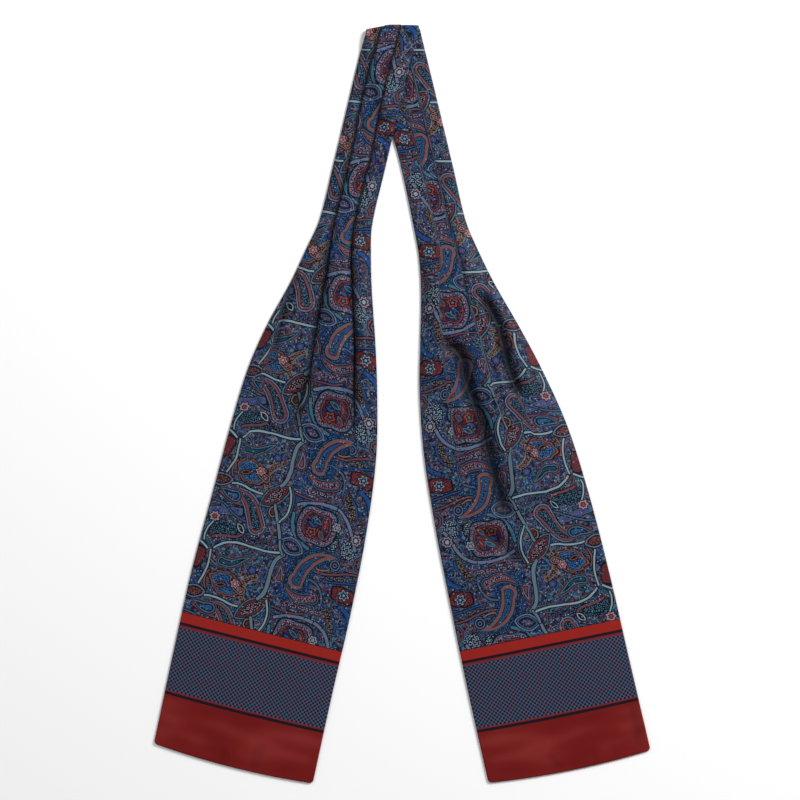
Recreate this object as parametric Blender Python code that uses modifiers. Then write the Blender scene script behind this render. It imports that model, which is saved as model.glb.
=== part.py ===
"""A silk cravat: one long self-faced strip of cloth, folded once at the back of the neck and laid flat.

The strip is a flattened tube, so every stretch has a face layer and a back layer. A narrow pleated
band goes round the neck, and a wide square-ended blade hangs from each end of it. The cravat lies
folded in a V: the right half lies on the table with its back up, the fold stands at the far edge,
and the left half comes down over it with its pleated face up.

Frame: metres, +Z up, the table at Z = 0, the fold at +Y, the two ends at -Y, and the origin at the
middle of the table area that the cravat covers.
"""

import math
from typing import NamedTuple

import bpy
import bmesh
from mathutils import Vector

MM = 0.001
UP = Vector((0.0, 0.0, 1.0))
BACKWARDS = Vector((0.0, 1.0, 0.0))

# Driving sizes, in millimetres.
WALL = 1.0              # thickness of one layer of the cloth
GAP = 0.3               # clearance between layers and at the ends of stretches
FOLD_Y = 320.6          # where the flat stretches end and the fold at the neck begins
SEAM_Y = 155.0          # where the stitched pleats of the band end and the blades open
END_BOW = 3.4           # how far the middle of an end edge bows out past its corners
END_BOW_LENGTH = 70.0   # length of blade over which that bow grows
CORNER = 3.0            # radius of the corners of the blades
DRAPE_START = 1.4       # the left band clears the edge of the right band by this much
DRAPE_RUN = 9.0         # and then drops to the table over this much
PLEAT_TUCK = 0.22       # how far a pleat reaches under its neighbour, in half widths

FACE_LIFT = WALL + GAP                       # underside of an upper layer over the layer below it
BAND_PUFF = 0.5                              # rise of the upper layer of the right band
OVER_LIFT = 2.0 * FACE_LIFT + BAND_PUFF + GAP   # height of the left band where it crosses the right


class Section(NamedTuple):
    """One section across a half of the cravat, from its inner edge to its outer edge."""

    y: float        # where the section crosses the centre line
    centre: float   # x of the centre line there
    half: float     # half of the width
    tilt: float     # degrees that the section is turned up towards its outer edge
    crown: float    # rise of the upper layer at the middle of the section


LEFT_SECTIONS = (
    Section(321.0, -8.1, 22.7, 0.0, 0.5),
    Section(260.0, -22.8, 22.4, 2.3, 0.5),
    Section(200.0, -37.2, 22.2, 4.5, 0.5),
    Section(155.0, -48.0, 22.6, 6.2, 3.5),
    Section(130.0, -54.0, 27.7, 7.1, 6.0),
    Section(100.0, -60.2, 35.0, 8.3, 7.0),
    Section(60.0, -68.9, 46.9, 9.8, 6.5),
    Section(20.0, -76.2, 56.2, 11.3, 5.0),
    Section(-30.0, -83.8, 63.5, 13.1, 3.2),
    Section(-90.0, -95.5, 67.7, 14.1, 2.0),
    Section(-160.0, -111.6, 70.3, 14.1, 1.6),
    Section(-230.0, -127.5, 70.1, 14.1, 1.4),
    Section(-306.5, -144.0, 69.9, 14.1, 0.4),
)

RIGHT_SECTIONS = (
    Section(321.0, -7.8, 22.9, 0.0, 0.5),
    Section(260.0, 7.1, 22.7, 1.8, 0.5),
    Section(200.0, 22.0, 22.0, 3.6, 0.5),
    Section(155.0, 32.0, 22.5, 5.0, 2.5),
    Section(130.0, 39.4, 25.3, 5.7, 5.0),
    Section(100.0, 47.5, 31.5, 6.6, 7.0),
    Section(60.0, 58.0, 42.8, 7.9, 7.5),
    Section(20.0, 67.6, 53.3, 9.1, 7.0),
    Section(-30.0, 79.9, 62.4, 10.6, 6.0),
    Section(-90.0, 93.9, 67.1, 11.4, 4.5),
    Section(-160.0, 109.7, 69.3, 11.4, 1.8),
    Section(-230.0, 124.9, 70.2, 11.4, 1.4),
    Section(-309.1, 143.0, 70.6, 11.4, 0.4),
)


class Valley(NamedTuple):
    """One valley between two folds of a blade, through three points of its line."""

    top_y: float
    top_x: float
    middle_y: float
    middle_x: float
    low_y: float
    low_x: float
    width: float    # half width of the valley at half of its depth
    depth: float    # share of the crown that the valley takes away
    fade: float     # length over which it ends at the bottom


LEFT_VALLEYS = (
    Valley(155.0, -57.0, 82.0, -68.5, -20.0, -94.0, 5.0, 0.90, 50.0),
    Valley(155.0, -41.5, 82.0, -43.0, -5.0, -40.5, 5.0, 0.85, 50.0),
    Valley(110.0, -93.0, 70.0, -106.0, 32.0, -120.0, 4.0, 0.55, 30.0),
)

RIGHT_VALLEYS = (
    Valley(155.0, 46.0, 90.0, 76.0, 8.0, 101.5, 6.0, 0.80, 40.0),
    Valley(60.0, 42.0, 0.0, 65.0, -90.0, 84.0, 8.0, 0.90, 45.0),
    Valley(-105.0, 70.0, -125.0, 84.0, -140.0, 104.0, 7.0, 0.80, 20.0),
)


class Finish(NamedTuple):
    """Colour and surface of a stretch of cloth."""

    red: float
    green: float
    blue: float
    roughness: float


PRINTED_SILK = Finish(0.085, 0.075, 0.13, 0.48)
SECTIONS = {"left": LEFT_SECTIONS, "right": RIGHT_SECTIONS}
VALLEYS = {"left": LEFT_VALLEYS, "right": RIGHT_VALLEYS}
OUTWARD = {"left": -1.0, "right": 1.0}     # sign of X on the side of each half's outer edge


def smooth(share):
    """Return 0 below 0, 1 above 1 and a smooth rise between them."""
    share = min(1.0, max(0.0, share))
    return share * share * (3.0 - 2.0 * share)


def section_at(sections, y):
    """Return the section at a height on the centre line, on a smooth curve through the table."""
    last = len(sections) - 2
    k = 0
    while k < last and y < sections[k + 1].y:
        k += 1
    upper = sections[k]
    lower = sections[k + 1]
    before = sections[max(k - 1, 0)]
    after = sections[min(k + 2, last + 1)]
    run = lower.y - upper.y
    t = (y - upper.y) / run
    values = [y]
    for field in range(1, len(Section._fields)):
        slope_upper = (lower[field] - before[field]) / (lower.y - before.y) * run
        slope_lower = (after[field] - upper[field]) / (after.y - upper.y) * run
        values.append(
            (2 * t**3 - 3 * t**2 + 1) * upper[field] + (t**3 - 2 * t**2 + t) * slope_upper
            + (3 * t**2 - 2 * t**3) * lower[field] + (t**3 - t**2) * slope_lower
        )
    return Section(*values)


def plan_point(half, y, across):
    """Return X and Y of a point of a half: across is -1 at its inner edge and 1 at its outer edge."""
    sections = SECTIONS[half]
    section = section_at(sections, y)
    to_end = y - sections[-1].y
    inset = 0.0
    if to_end < CORNER:
        inset = CORNER - math.sqrt(CORNER**2 - (CORNER - to_end) ** 2)
    reach = across * (section.half - inset)
    bow = END_BOW * smooth(1.0 - to_end / END_BOW_LENGTH) * (1.0 - across**2)
    tilt = math.radians(section.tilt)
    outward = OUTWARD[half]
    x = section.centre + outward * (reach * math.cos(tilt) + bow * math.sin(tilt))
    return x, y + reach * math.sin(tilt) - bow * math.cos(tilt)


def valley_share(valleys, x, y):
    """Return the share of the crown that the valleys leave at a point."""
    left = 1.0
    for v in valleys:
        if y > v.top_y + v.fade or y < v.low_y - v.fade:
            continue
        along = min(v.top_y, max(v.low_y, y))
        line = (
            v.top_x * (along - v.middle_y) * (along - v.low_y)
            / ((v.top_y - v.middle_y) * (v.top_y - v.low_y))
            + v.middle_x * (along - v.top_y) * (along - v.low_y)
            / ((v.middle_y - v.top_y) * (v.middle_y - v.low_y))
            + v.low_x * (along - v.top_y) * (along - v.middle_y)
            / ((v.low_y - v.top_y) * (v.low_y - v.middle_y))
        )
        end = min((y - v.low_y + v.fade) / v.fade, (v.top_y + v.fade - y) / v.fade)
        left *= 1.0 - v.depth * smooth(end) * math.exp(-(((x - line) / v.width) ** 2) * math.log(2.0))
    return left


def crown_at(half, y, across, x):
    """Return the rise of a half's upper layer over its lowest level."""
    sections = SECTIONS[half]
    valleys = VALLEYS[half]
    crown = section_at(sections, y).crown * (1.0 - across**4)
    return crown * valley_share(valleys, x, y)


def drape_at(x, y):
    """Return the height of the left band's underside: on the right band, or down on the table."""
    past_edge = plan_point("right", y, -1.0)[0] - x
    return OVER_LIFT * (1.0 - smooth((past_edge - DRAPE_START) / DRAPE_RUN))


def rows_between(start, end, count, rounded_end=False):
    """Return heights from start down to end, with more of them in a round corner."""
    heights = [start + (end - start) * k / count for k in range(count + 1)]
    if rounded_end:
        for share in (0.5, 0.13):
            heights.insert(-1, end + CORNER * share)
        heights.sort(reverse=True)
    return heights


def make_wall(collection, name, finish, columns, heights, place, sides=(-1.0, 1.0), thicken=UP):
    """Add one stretch of cloth: a grid put in place by a rule and given its thickness.

    place turns a height and a place across the stretch into X, Y and Z in millimetres. The
    thickness is added on the side that thicken points to.
    """
    mesh = bpy.data.meshes.new(name)
    grid = bmesh.new()
    rows = len(heights) - 1
    bmesh.ops.create_grid(grid, x_segments=columns, y_segments=rows, size=0.5)
    for vertex in grid.verts:
        column = round((vertex.co.x + 0.5) * columns)
        row = round((0.5 - vertex.co.y) * rows)
        across = sides[0] + (sides[1] - sides[0]) * column / columns
        vertex.co = [value * MM for value in place(heights[row], across)]
    bmesh.ops.recalc_face_normals(grid, faces=grid.faces)
    if sum(face.normal.dot(thicken) * face.calc_area() for face in grid.faces) < 0.0:
        bmesh.ops.reverse_faces(grid, faces=grid.faces)
    grid.to_mesh(mesh)
    grid.free()
    mesh.shade_smooth()

    stretch = bpy.data.objects.new(name, mesh)
    collection.objects.link(stretch)
    wall = stretch.modifiers.new("cloth thickness", "SOLIDIFY")
    wall.thickness = WALL * MM
    wall.offset = 1.0

    silk = bpy.data.materials.new(name + "_silk")
    silk.use_nodes = True
    surface = silk.node_tree.nodes["Principled BSDF"]
    surface.inputs["Base Color"].default_value = (finish.red, finish.green, finish.blue, 1.0)
    surface.inputs["Roughness"].default_value = finish.roughness
    surface.inputs["Metallic"].default_value = 0.0
    mesh.materials.append(silk)
    return stretch


def make_blade(collection, half, upper_name, lower_name):
    """Add one blade: a flat layer on the table and a folded layer over it."""
    sections = SECTIONS[half]
    start = SEAM_Y - GAP
    end = sections[-1].y

    def lower(y, across):
        x, place_y = plan_point(half, y, across)
        return x, place_y, 0.0

    def upper(y, across):
        x, place_y = plan_point(half, y, across)
        return x, place_y, FACE_LIFT + crown_at(half, y, across, x)

    make_wall(collection, lower_name, PRINTED_SILK, 6, rows_between(start, end, 22, True), lower)
    make_wall(collection, upper_name, PRINTED_SILK, 20, rows_between(start, end, 34, True), upper)


def make_right_band(collection):
    """Add the neckband's right half: two flat layers on the table."""
    heights = rows_between(FOLD_Y, SEAM_Y, 10)

    def lower(y, across):
        x, place_y = plan_point("right", y, across)
        return x, place_y, 0.0

    def upper(y, across):
        x, place_y = plan_point("right", y, across)
        return x, place_y, FACE_LIFT + BAND_PUFF * (1.0 - across**4)

    make_wall(collection, "right_band_face", PRINTED_SILK, 4, heights, lower)
    make_wall(collection, "right_band_back", PRINTED_SILK, 8, heights, upper)


class Pleat(NamedTuple):
    """One visible pleat of the neckband, from its inner to its outer edge."""

    name: str
    inner: float    # place across the band, from -1 at its inner edge
    outer: float    # to 1 at its outer edge
    level: int      # layers of cloth under it, over the back layer


PLEATS = (
    Pleat("left_band_pleat_outer", 0.39 - PLEAT_TUCK, 1.0, 1),
    Pleat("left_band_pleat_middle", -0.30, 0.39, 2),
    Pleat("left_band_pleat_inner", -1.0, -0.30 + PLEAT_TUCK, 1),
)


def make_left_band(collection):
    """Add the neckband's left half: a back layer and three pleats, draped over the right half."""
    heights = rows_between(FOLD_Y, SEAM_Y, 20)

    def wall_at(level):
        def place(y, across):
            x, place_y = plan_point("left", y, across)
            return x, place_y, drape_at(x, place_y) + level * (FACE_LIFT + 0.1)
        return place

    make_wall(collection, "left_band_back", PRINTED_SILK, 9, heights, wall_at(0))
    for pleat in PLEATS:
        make_wall(
            collection, pleat.name, PRINTED_SILK, 4, heights, wall_at(pleat.level),
            sides=(pleat.inner, pleat.outer),
        )


def make_neck_fold(collection):
    """Add the fold at the back of the neck: an inner and an outer layer bent through half a turn."""
    right_top = FACE_LIFT + 0.5 * WALL
    left_bottom = OVER_LIFT + 0.5 * WALL
    turns = {
        "neck_fold_inner": (right_top, left_bottom),
        "neck_fold_outer": (0.5 * WALL, OVER_LIFT + FACE_LIFT + 0.1 + 0.5 * WALL),
    }
    angles = [math.pi * k / 10 for k in range(11)]
    for name, (low, high) in turns.items():
        axis = 0.5 * (low + high)
        radius = 0.5 * (high - low) - 0.5 * WALL

        def place(angle, across):
            x = plan_point("left", FOLD_Y, -across)[0]
            return x, FOLD_Y + GAP + radius * math.sin(angle), axis + radius * math.cos(angle)

        make_wall(collection, name, PRINTED_SILK, 6, angles, place, thicken=BACKWARDS)


def main():
    """Clear the scene and build the cravat."""
    for thing in list(bpy.data.objects):
        bpy.data.objects.remove(thing, do_unlink=True)
    cravat = bpy.data.collections.new("silk_cravat")
    bpy.context.scene.collection.children.link(cravat)
    make_blade(cravat, "left", "left_blade_face", "left_blade_back")
    make_blade(cravat, "right", "right_blade_back", "right_blade_face")
    make_right_band(cravat)
    make_left_band(cravat)
    make_neck_fold(cravat)


main()
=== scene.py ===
"""Looks of the silk cravat: the cloth with its pleats and folds, its print, and a plain studio.

The cravat is one self-faced strip, folded once at the back of the neck and laid flat in a V. Each half
is a flattened tube of thin cloth: its upper side is set out from sections and pleat lines, its
underside lies on the table, and two map layers carry the cloth's own flat measures to the print.
Sizes are millimetres in the tables and metres in the meshes.
"""

import logging
import math
from dataclasses import dataclass, field
from enum import Enum
from functools import partial
from typing import Callable, Optional, Sequence

import bpy
import numpy as np
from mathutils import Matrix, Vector


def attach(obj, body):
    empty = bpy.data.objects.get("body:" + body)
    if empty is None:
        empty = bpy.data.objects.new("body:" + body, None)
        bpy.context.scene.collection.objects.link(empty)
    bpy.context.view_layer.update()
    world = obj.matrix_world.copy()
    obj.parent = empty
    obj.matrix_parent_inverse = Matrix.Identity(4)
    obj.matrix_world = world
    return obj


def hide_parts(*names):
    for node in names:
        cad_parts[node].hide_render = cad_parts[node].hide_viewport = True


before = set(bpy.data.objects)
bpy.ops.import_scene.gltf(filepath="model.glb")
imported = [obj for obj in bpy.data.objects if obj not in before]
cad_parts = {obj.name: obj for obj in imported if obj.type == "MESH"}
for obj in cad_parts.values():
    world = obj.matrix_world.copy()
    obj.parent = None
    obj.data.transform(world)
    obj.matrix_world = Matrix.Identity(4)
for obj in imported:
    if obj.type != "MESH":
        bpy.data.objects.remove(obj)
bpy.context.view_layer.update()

MM = 0.001
LOG = logging.getLogger("cravat")

Grid = np.ndarray
Point = tuple[float, float]
Node = bpy.types.Node
Socket = bpy.types.NodeSocket
Tree = bpy.types.NodeTree


# ------------------------------------------------------------------ the cut


@dataclass(frozen=True)
class Section:
    """One section across a half of the cravat, from its inner edge to its outer edge."""

    y: float
    centre: float
    half: float
    tilt: float
    crown: float


@dataclass(frozen=True)
class PleatLine:
    """Where two pleat lines cross the strip, as shares of its half width from its centre."""

    y: float
    inner: float
    outer: float


@dataclass(frozen=True)
class Fullness:
    """How much the cloth stands up at one height: its pleats, their overlap and their fold."""

    y: float
    arch: float
    step: float
    tuck: float
    squareness: float


class CreaseKind(Enum):
    """Whether a crease goes down into the cloth or stands up from it."""

    TROUGH = -1.0
    RIDGE = 1.0


@dataclass(frozen=True)
class Crease:
    """One crease through a few points of its line, with its half width and its depth; a trough deeper than
    1 mm also gets painted shade.
    """

    kind: CreaseKind
    points: tuple[Point, ...]
    width: float
    depth: float
    end_share: float = 0.3


trough = partial(Crease, CreaseKind.TROUGH)
ridge = partial(Crease, CreaseKind.RIDGE)


def table(kind: type, *rows: tuple) -> tuple:
    """Return the rows of a table as dataclasses of one kind."""
    return tuple(kind(*row) for row in rows)


def smooth(share: Grid) -> Grid:
    """Return 0 below 0, 1 above 1 and a smooth rise between them.

    Args:
        share: Values to ease.

    Returns:
        The eased values.
    """
    share = np.clip(share, 0.0, 1.0)
    return share * share * (3.0 - 2.0 * share)


def through(rows: Sequence, name: str, y: Grid) -> Grid:
    """Read one column of a table at any height, on a smooth curve through its rows.

    Args:
        rows: Dataclass rows with falling y.
        name: The column.
        y: Heights to read it at.

    Returns:
        The column's values there.
    """
    ys = np.array([row.y for row in rows])
    values = np.array([getattr(row, name) for row in rows])
    k = np.clip(np.searchsorted(-ys, -y, side="right") - 1, 0, len(ys) - 2)
    before = np.maximum(k - 1, 0)
    after = np.minimum(k + 2, len(ys) - 1)
    run = ys[k + 1] - ys[k]
    t = (y - ys[k]) / run
    slope_a = (values[k + 1] - values[before]) / (ys[k + 1] - ys[before]) * run
    slope_b = (values[after] - values[k]) / (ys[after] - ys[k]) * run
    return (
        (2 * t**3 - 3 * t**2 + 1) * values[k] + (t**3 - 2 * t**2 + t) * slope_a
        + (3 * t**2 - 2 * t**3) * values[k + 1] + (t**3 - t**2) * slope_b
    )


@dataclass
class Half:
    """One half of the strip, from the fold at the neck to the end of its blade."""

    name: str
    outward: float
    sections: tuple[Section, ...]
    lines: tuple[PleatLine, ...]
    fullness: tuple[Fullness, ...]
    creases: tuple[Crease, ...]
    hidden_shares: tuple[float, float, float]
    third_line: tuple[Point, ...]
    middle_on_top: bool
    # Strength of the painted shade along the pleat lines.
    line_shade: float = 1.0
    ripple: float = 0.22
    fold_y: float = 320.6
    edge_radius: float = 1.15
    corner: float = 3.0
    end_bow: float = 3.4
    end_bow_length: float = 70.0
    cut_half: float = 70.0
    pleats_end: float = -60.0       # below here the cloth is flat enough for wider rows
    pleated_rows: int = 212
    flat_rows: int = 100
    corner_rows: int = 7
    columns: tuple[int, int, int] = (20, 24, 34)
    turn_columns: int = 4
    under_columns: int = 12
    edge_columns: int = 5
    lean: float = 0.25              # how far the rounds of the side pleats lean to one side
    overhang_share: float = 0.12    # share of its tuck by which a pleat's edge hangs over
    line_gap: float = 1.6           # half of a pleat line's width where the pleat has run out
    out_tuck: float = 1.5           # the tuck below which a pleat line starts to widen
    third_width: float = 2.4        # width over which the third pleat takes in its cloth

    def stations(self) -> Grid:
        """Set out the rows of points, closer together where the cloth is pleated.

        Returns:
            The heights of the rows, from the fold down.
        """
        end = self.sections[-1].y
        upper = np.linspace(self.fold_y, self.pleats_end, self.pleated_rows)
        lower = np.linspace(self.pleats_end, end + self.corner, self.flat_rows)[1:]
        turn = np.linspace(0.0, 0.5 * math.pi, self.corner_rows)[1:]
        corner = end + self.corner * (1.0 - np.sin(turn))
        corner[-1] = end + 0.01
        return np.concatenate([upper, lower, corner])

    def place(self, y: Grid, reach: Grid) -> tuple[Grid, Grid]:
        """Put points of the strip on the table.

        Args:
            y: Height of each point's section.
            reach: Distance outwards from the centre line.

        Returns:
            X and Y of the points.
        """
        tilt = np.radians(through(self.sections, "tilt", y))
        half = through(self.sections, "half", y)
        to_end = y - self.sections[-1].y
        across = np.clip(reach / half, -1.0, 1.0)
        bow = self.end_bow * smooth(1.0 - to_end / self.end_bow_length) * (1.0 - across**2)
        x = through(self.sections, "centre", y)
        x = x + self.outward * (reach * np.cos(tilt) + bow * np.sin(tilt))
        return x, y + reach * np.sin(tilt) - bow * np.cos(tilt)

    def length_from_end(self, y: Grid) -> Grid:
        """Measure along the centre line.

        Args:
            y: Heights of the sections.

        Returns:
            Each section's distance from the blade's end.
        """
        fine = np.linspace(self.fold_y + 20.0, self.sections[-1].y, 800)
        centre = through(self.sections, "centre", fine)
        steps = np.hypot(np.diff(centre), np.diff(fine))
        along = np.concatenate([[0.0], np.cumsum(steps)])
        return along[-1] - np.interp(-y, -fine, along)

    def cross_sections(self, y: Grid) -> tuple[Grid, Grid, Grid, Grid]:
        """Set out the tube's section at each height.

        Args:
            y: Heights, one for each row.

        Returns:
            Reach from the centre line, height over the layer below, the cloth's own width measure
            and the painted shade of each point beside the pleat lines, each with a row for each height
            and a column for each point round the tube.
        """
        y = y[:, None]
        full = 2.0 * through(self.sections, "half", y)
        radius = self.edge_radius
        line_a = (1.0 + through(self.lines, "inner", y)) * 0.5 * full
        line_b = (1.0 + through(self.lines, "outer", y)) * 0.5 * full
        arch = through(self.fullness, "arch", y)
        step = np.maximum(through(self.fullness, "step", y), 0.0)
        tuck = np.maximum(through(self.fullness, "tuck", y), 0.0)
        power = np.maximum(through(self.fullness, "squareness", y), 2.0)
        crown = through(self.sections, "crown", y)
        hidden = np.maximum(2.0 * self.cut_half - full, 0.0)
        hide_a, hide_b, hide_c = (share * hidden for share in self.hidden_shares)
        sign = 1.0 if self.middle_on_top else -1.0

        def spread(count: int, start: Grid, stop: Grid) -> tuple[Grid, Grid]:
            """Set out columns between two edges, closer together at both, as shares and places."""
            share = 0.5 - 0.5 * np.cos(np.linspace(0.0, math.pi, count))[None, :]
            return share, start + (stop - start) * share

        def base(d: Grid) -> Grid:
            """Return the height of the upper side without its pleats."""
            a = 2.0 * d / full - 1.0
            return 2.0 * radius + crown * (1.0 - a**4)

        lean = self.lean
        overhang = self.overhang_share * tuck
        apart = self.line_gap * (1.0 - smooth(tuck / self.out_tuck))
        share_i, d_i = spread(self.columns[0], radius + 0.0 * full, line_a - apart)
        share_m, d_m = spread(self.columns[1], line_a + apart - overhang, line_b - apart + overhang)
        share_o, d_o = spread(self.columns[2], line_b + apart, full - radius)
        rise_m = 0.5 * step * (1.0 + sign)
        rise_s = 0.5 * step * (1.0 - sign)
        bump_m = 1.0 - np.abs(2.0 * share_m - 1.0) ** power
        bump_i = 1.0 - np.abs(2.0 * (1.0 - (1.0 - share_i) ** (1.0 - lean)) - 1.0) ** power
        bump_o = 1.0 - np.abs(2.0 * share_o ** (1.0 - lean) - 1.0) ** power
        z_i = base(d_i) + arch * 0.85 * bump_i + rise_s * share_i
        z_m = base(d_m) + arch * bump_m + rise_m * (0.45 + 0.55 * np.sqrt(bump_m))
        z_o = base(d_o) + arch * 0.9 * bump_o + rise_s * (1.0 - share_o)

        turn = np.linspace(0.0, 1.0, self.turn_columns + 2)[None, 1:-1]
        swing = np.sin(math.pi * turn)
        d_ta = line_a + tuck * swing + apart * (2.0 * turn - 1.0) - overhang * turn
        z_ta = z_i[:, -1:] + (z_m[:, :1] - z_i[:, -1:]) * turn
        d_tb = line_b - tuck * swing + apart * (2.0 * turn - 1.0) + overhang * (1.0 - turn)
        z_tb = z_m[:, -1:] + (z_o[:, :1] - z_m[:, -1:]) * turn

        third_y, third_a = (np.array(c) for c in zip(*self.third_line))
        d_third = (1.0 + np.interp(-y, -third_y, third_a)) * 0.5 * full
        cut = self.cut_half
        u_i = -cut + d_i
        u_m = -cut + hide_a + d_m
        u_o = -cut + hide_a + hide_b + d_o + hide_c * smooth((d_o - d_third) / self.third_width + 0.5)
        u_ta = u_i[:, -1:] + (u_m[:, :1] - u_i[:, -1:]) * turn
        u_tb = u_m[:, -1:] + (u_o[:, :1] - u_m[:, -1:]) * turn

        bend = np.linspace(0.5 * math.pi, -0.5 * math.pi, self.edge_columns + 2)[None, 1:-1]
        d_eo = full - radius + radius * np.cos(bend)
        z_e = radius + radius * np.sin(bend) + 0.0 * full
        u_eo = u_o[:, -1:] + radius * (0.5 * math.pi - bend)
        share_u = np.linspace(0.0, 1.0, self.under_columns)[None, :]
        d_u = full - radius - (full - 2.0 * radius) * share_u
        z_u = 0.0 * d_u
        u_u = cut + (2.0 * cut) * share_u + 0.0 * full
        d_ei = radius - radius * np.cos(bend) + 0.0 * full
        z_ei = z_e[:, ::-1]
        u_ei = 3.0 * cut + radius * (0.5 * math.pi - bend) + 0.0 * full
        # Painted shade: beside a line the colour is darkened, less so with distance; above it only a thin
        # rim is.
        painted_shade_share = self.line_shade * smooth(tuck / 2.5)
        core = overhang + 0.6
        fall = 1.1 + 0.55 * np.maximum(arch, 0.0)
        near_a, near_b = (
            np.exp(-((np.maximum(gap - core, 0.0) / fall) ** 1.5)) for gap in (line_a - d_i, d_o - line_b))
        rim_a, rim_b = (
            np.exp(-((np.maximum(gap, 0.0) / 0.9) ** 2)) for gap in (d_m - line_a, line_b - d_m))
        shade = np.hstack([
            painted_shade_share * near_a, painted_shade_share + 0.0 * d_ta, 0.6 * painted_shade_share * (rim_a + rim_b), painted_shade_share + 0.0 * d_tb,
            painted_shade_share * near_b, 0.0 * d_eo, 0.0 * d_u, 0.0 * d_ei])
        d = np.hstack([d_i, d_ta, d_m, d_tb, d_o, d_eo, d_u, d_ei])
        z = np.hstack([z_i, z_ta, z_m, z_tb, z_o, z_e, z_u, z_ei])
        u = np.hstack([u_i, u_ta, u_m, u_tb, u_o, u_eo, u_u, u_ei])
        return d - 0.5 * full, z, u, shade

    def face_count(self) -> int:
        """Return how many of the columns are on the upper side."""
        return sum(self.columns) + 2 * self.turn_columns


def line_distance(x: Grid, y: Grid, points: Sequence[Point]) -> tuple[Grid, Grid]:
    """Measure how far points are from a curved line, and where along it.

    Args:
        x: X of the points.
        y: Y of the points.
        points: A few points that the line passes through.

    Returns:
        The distance from the line, and the share of its length where it is nearest.
    """
    knots = np.array(points, dtype=float)
    padded = np.vstack([2 * knots[0] - knots[1], knots, 2 * knots[-1] - knots[-2]])
    line = []
    for k in range(1, len(padded) - 2):
        for t in np.linspace(0.0, 1.0, 8, endpoint=False):
            line.append(0.5 * (
                2 * padded[k] + (padded[k + 1] - padded[k - 1]) * t
                + (2 * padded[k - 1] - 5 * padded[k] + 4 * padded[k + 1] - padded[k + 2]) * t**2
                + (3 * padded[k] - padded[k - 1] - 3 * padded[k + 1] + padded[k + 2]) * t**3
            ))
    line.append(knots[-1])
    line = np.array(line)
    lengths = np.concatenate([[0.0], np.cumsum(np.hypot(*np.diff(line, axis=0).T))])
    best = np.full(x.shape, 1e9)
    where = np.zeros(x.shape)
    for start, stop, at, to in zip(line[:-1], line[1:], lengths[:-1], lengths[1:]):
        run = stop - start
        t = ((x - start[0]) * run[0] + (y - start[1]) * run[1]) / (run @ run)
        t = np.clip(t, 0.0, 1.0)
        gap = np.hypot(x - start[0] - t * run[0], y - start[1] - t * run[1])
        nearer = gap < best
        best = np.where(nearer, gap, best)
        where = np.where(nearer, (at + t * (to - at)) / lengths[-1], where)
    return best, where


def creased(
    x: Grid, y: Grid, z: Grid, floor: Grid, creases: Sequence[Crease]
) -> tuple[Grid, Grid]:
    """Press creases into the upper side of the cloth, and paint shade along the deeper troughs.

    Args:
        x: X of the points.
        y: Y of the points.
        z: Height of the points.
        floor: The lowest that a trough may press each point.
        creases: The creases.

    Returns:
        The new heights, and the painted shade that each point gets from the troughs it lies in.
    """
    painted_shade_share = np.zeros(z.shape)
    for crease in creases:
        gap, where = line_distance(x, y, crease.points)
        ends = smooth(where / crease.end_share) * smooth((1.0 - where) / crease.end_share)
        press = np.exp(-((gap / crease.width) ** 2)) * ends
        if crease.kind is CreaseKind.TROUGH:
            z = z - np.clip(crease.depth * press, 0.0, None) * np.clip((z - floor) / crease.depth, 0, 1)
            # Painted shade: a trough deeper than 1 mm also darkens the colour along its line.
            painted_shade_share = np.maximum(painted_shade_share, press**0.7 * np.clip((crease.depth - 1.0) / 5.0, 0.0, 1.0))
        else:
            z = z + crease.depth * press
    return z, painted_shade_share


def rippled(x: Grid, y: Grid) -> Grid:
    """Return the soft unevenness of cloth that lies loose, between -1 and 1.

    Args:
        x: X of the points.
        y: Y of the points.

    Returns:
        The height, as a share of the tallest.
    """
    slow = np.sin(x / 17.0 + 1.3 * np.sin(y / 41.0)) * np.sin(y / 29.0 + 0.7)
    quick = np.sin((x + 0.6 * y) / 9.5 + 0.9 * np.sin(x / 23.0))
    return 0.65 * slow + 0.35 * quick * np.sin(y / 53.0 - 0.4)


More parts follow.
